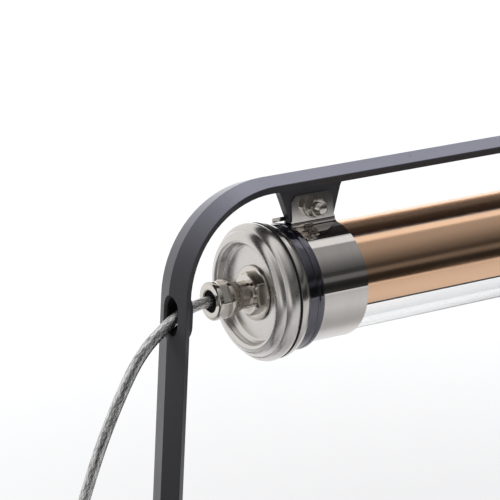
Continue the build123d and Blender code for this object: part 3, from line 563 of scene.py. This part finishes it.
def glandShell(rows, flats, around, turn=0.0, steps=7):
    # rows of place, radius, rounding and a mark where the row is cut to a hexagon
    outline = roundedOutline([(-row[0], *row[1:3]) for row in rows], steps)
    hexRows = np.repeat([bool(row[3]) for row in rows], steps)
    return turnedShell(outline, around, flats, radians(turn), hexRows)


def glandBodyShell(g):
    corner = g["base"] / 3 ** 0.5
    rows = [(g["threadEnd"], g["bore"], 0.2, 0), (g["threadEnd"], g["thread"], 0.6, 0),
            (g["flangeAt"], g["thread"], 0.1, 0), (g["flangeAt"], g["flange"], 0.2, 0),
            (g["baseAt"], g["flange"], 0.5, 0), (g["baseAt"], corner, 0.1, 1), (g["bevelAt"], corner, 0.4, 1),
            (g["baseEnd"], g["base"] / 2, 0.4, 1), (g["baseEnd"], g["neck"], 0.4, 0),
            (g["sleeveAt"], g["neck"], 0.2, 0), (g["sleeveAt"], g["sleeve"], 0.5, 0),
            (g["nutAt"], g["sleeve"], 0.5, 0), (g["nutAt"], g["neck"], 0.1, 0),
            (g["hexAt"], g["neck"], 0.1, 0), (g["hexAt"], g["bore"], 0.2, 0)]
    return glandShell(rows, g["base"], g["around"], g["baseTurn"])


def glandNutShell(g):
    corner, inside, stop = g["hexagon"] / 3 ** 0.5, g["neck"] + g["fit"], g["hexAt"] + g["fit"]
    rows = [(g["nutAt"], inside, 0.2, 0), (g["nutAt"], g["ring"], 0.8, 0), (g["hexAt"], g["ring"], 0.8, 0),
            (g["hexAt"], corner, 0.1, 1), (g["hexEnd"], corner, 0.1, 1), (g["hexEnd"], g["ring"], 0.6, 0),
            (g["noseEnd"], g["ring"], g["nose"], 0), (g["noseEnd"], g["mouth"], 0.8, 0),
            (stop, g["mouth"], 0.1, 0), (stop, inside, 0.1, 0)]
    return glandShell(rows, g["hexagon"], g["around"])


glandBody, glandNut = (atEnd(make(glandSetup), sides["left"]) for make in (glandBodyShell, glandNutShell))
addPiece("glandBody", [glandBody], "gland_nickel", "tube", ["gland_body"])
addPiece("glandUnionNut", [glandNut], "gland_nickel", "tube", ["gland_dome_nut"])
print("gland made")

# Collar bolts: threaded shanks through the ears with hexagon heads behind, nuts and washers
boltSetup = dict(radius=4.0, fit=0.02, pitch=1.25, threadDepth=0.62, tip=5.4, tipRound=0.9, tipShrink=0.28,
                 rise=55.4, along=43.2, flats=13.0, chamfer=0.6, head=5.3, headCore=3.0, nut=6.5, washer=8.0,
                 washerThickness=1.6, ear=4.5, around=dict(shank=48, hexagon=96, washer=72))


def hexShell(b, start, end, bore, lids=False):
    # hexagon with both end faces turned off at about 30 degrees
    corner, half, cut = b["flats"] / 3 ** 0.5, b["flats"] / 2, b["chamfer"]
    rows = [(start, bore, 0.1), (start, half, 0.2), (start + cut, corner, 0.2), (end - cut, corner, 0.2),
            (end, half, 0.2), (end, bore, 0.1)]
    outline = roundedOutline(rows, steps=5, lids=lids)
    return turnedShell(outline, b["around"]["hexagon"], b["flats"], lids=lids)


def threadShell(b, start, end, threadFrom, perPitch=12):
    # a shank whose radius falls and rises along a helix: place along it over the pitch, less the turn,
    # gives the phase, and a triangle wave of it gives the depth, faded in after the plain length
    around, step = b["around"]["shank"], b["pitch"] / perPitch
    along = np.arange(start, end + step / 2, step)
    angle = np.arange(around) * 2 * pi / around
    phase = (along[:, None] / b["pitch"] - angle[None, :] / (2 * pi)) % 1
    fade = np.clip((along - threadFrom) / b["pitch"], 0, 1)[:, None]
    lead = np.clip((end - along) / b["tipRound"], 0, 1)[:, None]
    tip = 1 - b["tipShrink"] + b["tipShrink"] * np.sqrt(1 - (1 - lead) ** 2)
    out = (b["radius"] - b["fit"] - b["threadDepth"] * np.abs(2 * phase - 1) * fade) * tip
    points = np.stack([along[:, None] + 0 * out, out * np.sin(angle), out * np.cos(angle)], axis=-1)
    return points.reshape(-1, 3), tubeFaces(len(along), around)


def washerShell(b, start):
    end, bore = start + b["washerThickness"], b["radius"] + b["fit"]
    rows = [(start, bore, 0.2), (start, b["washer"], 0.4), (end, b["washer"], 0.4), (end, bore, 0.2)]
    return turnedShell(roundedOutline(rows, steps=5), b["around"]["washer"])


def atBolt(shell, side, b):
    # the shell's X axis becomes the bolt's axis, which points to the front
    points = shell[0] * mm
    turned = np.stack([points[:, 1], -points[:, 0], points[:, 2]], axis=-1)
    return turned + (side * (-seamX - b["along"] * mm), 0, axisHeight + b["rise"] * mm), shell[1]


def boltShells(b):
    seat = b["ear"] + b["washerThickness"]
    end = seat + b["nut"]
    return dict(bolts=[threadShell(b, -seat, end + b["tip"], seat),
                       hexShell(b, -seat - b["head"], -seat, b["headCore"], True)],
                nuts=[hexShell(b, seat, end, b["radius"] + b["fit"])],
                washers=[washerShell(b, b["ear"]), washerShell(b, -seat)])


for what, shells in boltShells(boltSetup).items():
    both = [atBolt(shell, side, boltSetup) for side in sides.values() for shell in shells]
    addPiece("collar" + what.capitalize(), both, "bolt_steel", "stand", ["collar_" + what])
print("bolts made")

# Glass tube and the copper half-round inside it
glassSetup = dict(radius=40.0, wall=3.0, inset=1.5, edge=1.2, around=256)


def heldOutline(outline, least=10.0, held=0.02, steps=12):
    # long straight stretches get points near both ends and evenly between, so that they shade straight
    stretch = np.roll(outline, -1, axis=0) - outline
    share = np.concatenate([[0.0], np.linspace(held, 1 - held, steps)])[:, None]
    rows = [start + ahead * share if np.linalg.norm(ahead) > least else start[None]
            for start, ahead in zip(outline, stretch)]
    return np.concatenate(rows)


def glassShell(g):
    end, bore = -seamX / mm - g["inset"], g["radius"] - g["wall"]
    corners = [(-end, bore), (-end, g["radius"]), (end, g["radius"]), (end, bore)]
    outline = roundedOutline([(*corner, g["edge"]) for corner in corners])
    return turnedShell(heldOutline(outline), g["around"])


addPiece("glassTube", [atAxis(glassShell(glassSetup))], "clear_glass", "tube", ["glass_tube"])

mirrorSetup = dict(radius=37.05, wall=0.8, droop=21.6, length=348.0, steps=160, sharp=60.0)


def carried(section, length):
    # a section (across, up) carried straight along the tube, closed at both ends
    ring = np.column_stack([np.zeros(len(section)), section])
    ends = np.array([-0.5, 0.5])[:, None, None] * length * np.array([1.0, 0.0, 0.0])
    return (ring[None] + ends).reshape(-1, 3), tubeFaces(2, len(section))


def mirrorShell(m):
    # the outer arc, and the inner arc back
    sweep = np.radians(np.linspace(-m["droop"], 180 + m["droop"], m["steps"]))
    out = np.repeat([m["radius"], m["radius"] - m["wall"]], m["steps"])
    turn = np.concatenate([sweep, sweep[::-1]])
    return carried(np.stack([out * np.cos(turn), out * np.sin(turn)], axis=-1), m["length"])


addPiece("copperMirror", [atAxis(mirrorShell(mirrorSetup))], "copper_mirror", "tube", ["reflector"],
         mirrorSetup["sharp"])

# Painted shade along the mirror's lower edges: dark strips, each a flat rounded section bent to the mirror's
# arc
shadeStripSetup = dict(width=1.5, thickness=0.8, edge=0.2)


def shadeStripShell(t, m, side):
    corners = [(0.0, 0.0), (t["width"], 0.0), (t["width"], t["thickness"]), (0.0, t["thickness"])]
    flat = roundedOutline([(*corner, t["edge"]) for corner in corners], steps=4)
    turn = -radians(m["droop"]) - flat[:, 0] / m["radius"]
    out = m["radius"] - flat[:, 1]
    return carried(np.stack([side * out * np.cos(turn), out * np.sin(turn)], axis=-1), m["length"])


shadeStrips = [atAxis(shadeStripShell(shadeStripSetup, mirrorSetup, side)) for side in (-1, 1)]
# dark strips that paint the shaded line along the mirror's lower edges
addPiece("mirrorTrims", shadeStrips, "dark_liner", "tube")
print("glass and mirror made")

# Cord: one smooth spline through the slot, down to the table, through the switch and round the put-away loops
cordSetup = dict(diameter=8.4, length=1.905, around=32, step=2.0, coilRadius=54.0, coilStart=(-356.0, 214.0),
                 turnPitch=9.0, quarters=21, perQuarter=4, climbFrom=9, climbTo=11, low=5.6, high=14.5,
                 tail=8.4, sharp=60.0)
cordRoute = [
    (-224.1, 0.0, 250.0), (-240.0, 0.0, 250.0), (-262.0, 0.0, 239.0), (-284.5, 0.0, 222.0),
    (-304.5, 0.0, 191.5), (-321.5, 0.0, 160.0), (-336.5, 0.0, 126.0), (-347.0, 4.0, 92.0),
    (-352.0, 16.0, 59.0), (-354.5, 36.0, 32.0), (-356.0, 60.0, 14.0), (-356.0, 84.0, 5.6),
    (-356.0, 100.0, 5.6), (-356.0, 147.0, 5.6), (-356.0, 194.0, 5.6), (-356.0, 206.0, 5.6),
]


def coilPoints(c):
    # the angle falls steadily, the radius shrinks a pitch a turn and grows again after the climb to a layer
    # on top
    quarter = np.arange(0.5, c["quarters"] * c["perQuarter"] + 0.5) / c["perQuarter"]
    angle = pi - quarter * pi / 2
    middle = (c["climbFrom"] + c["climbTo"]) / 2
    inward = np.minimum(quarter, middle) - np.maximum(quarter - middle, 0)
    gain = 1 / (0.75 + 0.25 * cos(pi / 2 / c["perQuarter"]))    # the spline runs inside its control points
    radius = (c["coilRadius"] - c["turnPitch"] * inward / 4) * gain
    climb = np.clip((quarter - c["climbFrom"]) / (c["climbTo"] - c["climbFrom"]), 0, 1)
    x, y = c["coilStart"][0] + c["coilRadius"], c["coilStart"][1]
    height = c["low"] + (c["high"] - c["low"]) * climb * climb * (3 - 2 * climb)
    turns = np.stack([x + radius * np.cos(angle), y + radius * np.sin(angle), height], axis=-1)
    outer = c["coilRadius"] - c["turnPitch"] * (2 * middle - c["quarters"]) / 4
    last = np.array([x, y + outer, c["high"]])
    return np.concatenate([turns, [last + (1.0, 0, 0), last + (c["tail"], 0, 0)]])


def splinePoints(controls, detail=48):
    # the line that Blender gives for one open NURBS spline with these control points
    curve = bpy.data.curves.new("cordRoute", "CURVE")
    curve.dimensions = "3D"
    spline = curve.splines.new("NURBS")
    spline.points.add(len(controls) - 1)
    spline.points.foreach_set("co", np.column_stack([controls, np.ones(len(controls))]).ravel())
    spline.order_u = 3
    spline.use_endpoint_u = True
    spline.resolution_u = detail
    holder = bpy.data.objects.new("cordRoute", curve)
    line = bpy.data.meshes.new_from_object(holder)
    points = np.empty(len(line.vertices) * 3)
    line.vertices.foreach_get("co", points)
    bpy.data.objects.remove(holder)
    return points.reshape(-1, 3)


def evenly(points, step):
    # points at equal distances along the line
    reach = np.concatenate([[0], np.cumsum(np.linalg.norm(np.diff(points, axis=0), axis=1))])
    places = np.linspace(0, reach[-1], int(reach[-1] / step) + 1)
    return np.stack([np.interp(places, reach, points[:, k]) for k in range(3)], axis=-1), places


def tubeShell(path, radius, around):
    # a ring across the path at every point, from the level direction across it and the one square to both
    along = unit(np.gradient(path, axis=0))
    level = unit(np.cross(along, (0.0, 0.0, 1.0)))
    rise = np.cross(level, along)
    angle = np.arange(around) * 2 * pi / around
    rings = path[:, None] + radius * (np.cos(angle)[None, :, None] * level[:, None]
                                      + np.sin(angle)[None, :, None] * rise[:, None])
    return rings.reshape(-1, 3), tubeFaces(len(path), around)


def sheathPlaces(places, radius, around):
    # every face corner's turn and its place over the girth; the last strip runs on to a whole turn, and the
    # ends stay at nought
    i, j = np.meshgrid(np.arange(len(places) - 1), np.arange(around), indexing="ij")
    turn = np.stack([j, j + 1, j + 1, j], axis=-1) / around
    along = places[np.stack([i, i, i + 1, i + 1], axis=-1)] / (2 * pi * radius)
    return np.concatenate([np.stack([turn, along], axis=-1).reshape(-1, 4, 2), np.zeros((around - 2, 4, 2))])


def makeCord(c):
    controls = np.concatenate([np.array(cordRoute), coilPoints(c)]) * mm
    path, places = evenly(splinePoints(controls), c["step"] * mm)
    radius = c["diameter"] / 2 * mm
    piece = addPiece("braidedCord", [tubeShell(path, radius, c["around"])], "cable_sheath", "stand",
                     ["cord_lead", "cord_coil"], c["sharp"], sheathPlaces(places, radius, c["around"]))
    print("cord length", round(float(places[-1]), 4))
    return piece, path


cord, cordPath = makeCord(cordSetup)

# Fittings on the cord: ribbed sleeves at the switch and the plug, the plug's grip, a strap round the loops
switchSleeve = dict(axis=1, thick=5.4, thin=4.5, grooves=5, depth=0.55)
sleeveSetups = dict(switch_relief_in=dict(switchSleeve, sign=-1),
                    switch_relief_out=dict(switchSleeve, sign=1),
                    plug_relief=dict(axis=0, sign=-1, thick=7.5, thin=4.5, grooves=8, depth=0.9))
sleeveRibs = dict(start=0.2, end=0.88, deepest=0.6, fit=0.05, around=64)
plugSetup = dict(core=3.0, back=8.5, shoulder=11.0, front=13.6, grooves=4, grooveDepth=0.8, shoulderAt=0.1,
                 ribsAt=0.3, ribsEnd=0.72, frontAt=0.85, soft=3.0, around=80)
strapSetup = dict(thickness=1.0, bend=2.2, edge=0.3)


def onAxis(shell, box, axis, sign):
    # from millimetres off one end of a box to the world, forwards or backwards along X or Y
    points = shell[0] * mm
    placed = (np.array(box[0]) + np.array(box[1])) / 2 + np.zeros_like(points)
    placed[:, axis] = box[0 if sign > 0 else 1][axis] + sign * points[:, 0]
    placed[:, 1 - axis] += points[:, 1]
    placed[:, 2] += points[:, 2]
    return placed, shell[1]


def grooved(start, end, grooves, depth, outAt, slope=0.2, edge=0.25):
    # grooves as wide as the ribs between them, cut from a line of changing radius
    rows = []
    for low, high in np.linspace(start, end, 2 * grooves).reshape(-1, 2):
        rows += [(low, outAt(low), edge), (low + slope, outAt(low) - depth(low), edge),
                 (high - slope, outAt(high) - depth(high), edge), (high, outAt(high), edge)]
    return rows


def sleeveShell(s, ribs, length, bore):
    def taper(along):
        return s["thick"] + (s["thin"] - s["thick"]) * along / length

    def depth(along):
        return min(s["depth"], ribs["deepest"] * (taper(along) - bore))

    rows = grooved(ribs["start"] * length, ribs["end"] * length, s["grooves"], depth, taper)
    outline = [(0, bore, 0.1), (0, s["thick"], 0.5), *rows, (length, s["thin"], 0.2), (length, bore, 0.1)]
    return turnedShell(roundedOutline(outline, steps=4), ribs["around"])


def plugShell(s, length):
    def flare(along):
        return s["shoulder"] + (s["front"] - s["shoulder"]) * (along / length) ** 2

    rows = grooved(s["ribsAt"] * length, s["ribsEnd"] * length, s["grooves"],
                   lambda along: s["grooveDepth"], flare)
    outline = [(0, s["core"], 0.1), (0, s["back"], 0.8), (s["shoulderAt"] * length, s["shoulder"], s["soft"]),
               *rows, (s["frontAt"] * length, s["front"], s["soft"]), (length, s["front"], 1.4),
               (length, s["core"], 0.1)]
    return turnedShell(roundedOutline(outline, steps=5, lids=True), s["around"], lids=True)


def strapShell(s, box):
    # a flat strap's outline (inwards, across), with a loop of rounded corners for each of its points
    (x0, y0, z0), (x1, y1, z1) = np.array(box) / mm
    corners = [(0, y0), (0, y1), (s["thickness"], y1), (s["thickness"], y0)]
    section = roundedOutline([(*corner, s["edge"]) for corner in corners], steps=4)
    loops = []
    for inset, across in section:
        low, high, bottom, top = x0 + inset, x1 - inset, z0 + inset, z1 - inset
        corners = [(low, bottom), (high, bottom), (high, top), (low, top)]
        loop = roundedOutline([(*corner, s["bend"] - inset) for corner in corners], steps=9)
        loops.append(np.stack([loop[:, 0], 0 * loop[:, 0] + across, loop[:, 1]], axis=-1))
    return np.concatenate(loops) * mm, gridFaces(len(section), len(loops[0]), True, True)


def addFitting(label, shell, name):
    return addPiece(label, [shell], slotOf[name], "stand", [name])


cordPieces = [nodes[name] for name in ("switch_base", "switch_cover", "switch_rocker", "plug_pins")]
sleeveBore = cordSetup["diameter"] / 2 + sleeveRibs["fit"]
for name, setup in sleeveSetups.items():
    box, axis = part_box(name), setup["axis"]
    shell = sleeveShell(setup, sleeveRibs, (box[1][axis] - box[0][axis]) / mm, sleeveBore)
    label = "ribbed" + name.title().replace("_", "")
    cordPieces.append(addFitting(label, onAxis(shell, box, axis, setup["sign"]), name))
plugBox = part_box("plug_body")
shell = plugShell(plugSetup, (plugBox[1][0] - plugBox[0][0]) / mm)
cordPieces.append(addFitting("plugGrip", onAxis(shell, plugBox, 0, 1), "plug_body"))
cordPieces.append(addFitting("cordStrap", strapShell(strapSetup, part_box("cord_tie")), "cord_tie"))
print("cord made")

# Studio: pale round table, light from above and behind for matt surfaces, and for polished ones the bright
# and dark sides of the room that they show
# painted shade on the table: a grey front and dark patches that only reflections show, a darker middle seen
# straight, and a dimmer bounce
tableSetup = dict(centre=(0.0, 0.62), reach=1.42, around=96, colour=(0.28, 0.273, 0.252), roughness=0.9,
                  front=0.62, frontFade=(-0.8, 0.6), near=0.86, nearFade=(0.2, 0.78), bounce=0.35,
                  cards=[dict(X=(0.1, 0.3), Y=(-0.25, 0.0)), dict(X=(-0.35, -0.6), Y=(0.75, 0.45))],
                  cardTone=-0.9)
roomSetup = dict(white=1.03, back=0.93, fill=0.31, front=(0.5, -0.866, 0.0), frontEdge=(-0.2, 0.1),
                 frontRise=[(-1.0, 0.9), (-0.5, 0.88), (-0.4, 0.78), (-0.26, 0.66), (-0.215, 0.88),
                            (-0.2085, 0.88), (-0.205, 0.05), (-0.19, 0.05), (-0.1, 0.025), (-0.03, 0.02),
                            (0.06, 0.035), (0.1, 0.12), (0.14, 0.18), (0.2, 0.17), (0.25, 0.06), (0.32, 0.05),
                            (0.38, 0.1), (0.44, 0.14), (0.53, 0.2), (0.6, 0.27), (0.66, 0.33), (0.73, 0.4),
                            (0.82, 0.42), (0.9, 0.7), (1.0, 0.9)],    # height and grey of the room's front
                 glows=[((-0.95, -0.25, 0.2), 35, 15, 0.5),           # dim wall on the left
                        ((0.57, 0.81, 0.08), 20, 8, 1.5),             # lit backdrop
                        ((0.57, 0.6, 0.56), 17, 10, 0.12),            # gap over the backdrop
                        ((-0.185, -0.952, -0.2), 24, 12, 0.1),        # camera's side
                        ((-0.81, -0.53, -0.24), 22, 10, 1.0),         # pale floor on the left
                        ((0.97, 0.2, 0.05), 38, 22, 0.12),            # dark wall on the right
                        ((0.575, 0.2, 0.79), 9, 5, 0.7),              # back of the soft box
                        ((0.58, -0.03, 0.82), 8, 5, 1.05)])           # soft box overhead
overheadSetup = dict(energy=13.2, tint=(0.95, 0.98, 1.08), width=50.0, tilt=(-17.5, 28.2))


def makeTable(s):
    angle = np.arange(s["around"]) * 2 * pi / s["around"]
    x, y = s["centre"]
    rim = np.stack([x + s["reach"] * np.cos(angle), y + s["reach"] * np.sin(angle), 0 * angle], axis=-1)
    mesh = bpy.data.meshes.new("table")
    mesh.from_pydata(rim.tolist(), [], [list(range(s["around"]))])
    material, tree, shader = startFinish("paleTable", Roughness=s["roughness"], Specular_IOR_Level=0.0)
    vector = objectVector(tree)
    place = addNode(tree, "SeparateXYZ", {"Vector": vector}).outputs
    away = addNode(tree, "VectorMath", {0: vector}, operation="LENGTH").outputs["Value"]
    path = addNode(tree, "LightPath").outputs
    mirror = spread(tree, place["Y"], s["front"], 1.0, s["frontFade"])      # painted shade: reflections show its front greyer
    seen = spread(tree, away, s["near"], 1.0, s["nearFade"])                # painted shade: seen straight, it is darker near the lamp and pales outwards
    tone = spread(tree, path["Is Camera Ray"], mirror, seen)
    direct = calc(tree, "LESS_THAN", path["Transmission Depth"], 0.5)
    glossy = calc(tree, "MULTIPLY", path["Is Glossy Ray"], direct)
    for shadePatch in s["cards"]:                                                 # painted shade: dark patches that only reflections show
        cover = glossy
        for axis, fade in shadePatch.items():
            cover = calc(tree, "MULTIPLY", cover, spread(tree, place[axis], 0.0, 1.0, fade))
        tone = calc(tree, "MULTIPLY", tone, calc(tree, "MULTIPLY_ADD", cover, s["cardTone"], 1.0))
    # painted shade: diffuse rays see the table dimmer, so it lights the lamp's lower sides less
    bounced = calc(tree, "MULTIPLY_ADD", path["Is Diffuse Ray"], s["bounce"] - 1, 1.0)
    shade = scaled(tree, s["colour"], calc(tree, "MULTIPLY", tone, bounced))
    tree.links.new(shade, shader.inputs["Base Color"])
    mesh.materials.append(material)
    table = bpy.data.objects.new("table", mesh)
    bpy.context.scene.collection.objects.link(table)


def facing(tree, heading, direction, low, high):
    # 0 away from a direction, 1 near it, with a smooth edge between two cosines
    wires = {0: heading, 1: unit(np.array(direction)).tolist()}
    nearness = addNode(tree, "VectorMath", wires, operation="DOT_PRODUCT").outputs["Value"]
    return addNode(tree, "MapRange", {"Value": nearness, "From Min": low, "From Max": high},
                   interpolation_type="SMOOTHSTEP").outputs[0]


def makeRoom(s):
    world = bpy.data.worlds.new("studio")
    bpy.context.scene.world = world
    world.use_nodes = True
    tree = world.node_tree
    heading = addNode(tree, "TexCoord").outputs["Generated"]
    height = addNode(tree, "SeparateXYZ", {"Vector": heading}).outputs["Z"]
    ramp = addNode(tree, "ValToRGB", {"Fac": spread(tree, height, 0.0, 1.0, (-1.0, 1.0))})
    stops = ramp.color_ramp.elements
    for rise, grey in s["frontRise"][1:-1]:
        stops.new((rise + 1) / 2)
    for stop, (rise, grey) in zip(stops, s["frontRise"]):
        stop.position, stop.color = (rise + 1) / 2, (grey, grey, grey, 1)
    room = blend(tree, facing(tree, heading, s["front"], *s["frontEdge"]), s["back"], ramp.outputs["Color"])
    for direction, outer, inner, level in s["glows"]:
        edge = facing(tree, heading, direction, cos(radians(outer)), cos(radians(inner)))
        room = blend(tree, edge, room, level)
    path = addNode(tree, "LightPath").outputs
    through = calc(tree, "MULTIPLY", path["Is Transmission Ray"],
                   calc(tree, "LESS_THAN", path["Glossy Depth"], 0.5))
    room = blend(tree, through, room, s["white"])                   # backdrop seen straight through the glass
    room = blend(tree, path["Is Diffuse Ray"], room, s["fill"])
    room = blend(tree, path["Is Camera Ray"], room, s["white"])
    tree.links.new(room, tree.nodes["Background"].inputs["Color"])
    world.cycles.sampling_method = "NONE"                           # every ray kind keeps its own room


def makeOverhead(s):
    # wide soft light from above, which polished surfaces don't show
    light = bpy.data.lights.new("overhead", "SUN")
    light.energy, light.color, light.angle = s["energy"], s["tint"], radians(s["width"])
    lamp = bpy.data.objects.new("overhead", light)
    lamp.rotation_euler = [radians(turn) for turn in s["tilt"]] + [0]
    lamp.visible_glossy = lamp.visible_transmission = False
    bpy.context.scene.collection.objects.link(lamp)


bpy.context.scene.view_settings.view_transform = "Standard"
makeTable(tableSetup)
makeRoom(roomSetup)
makeOverhead(overheadSetup)
print("studio made")
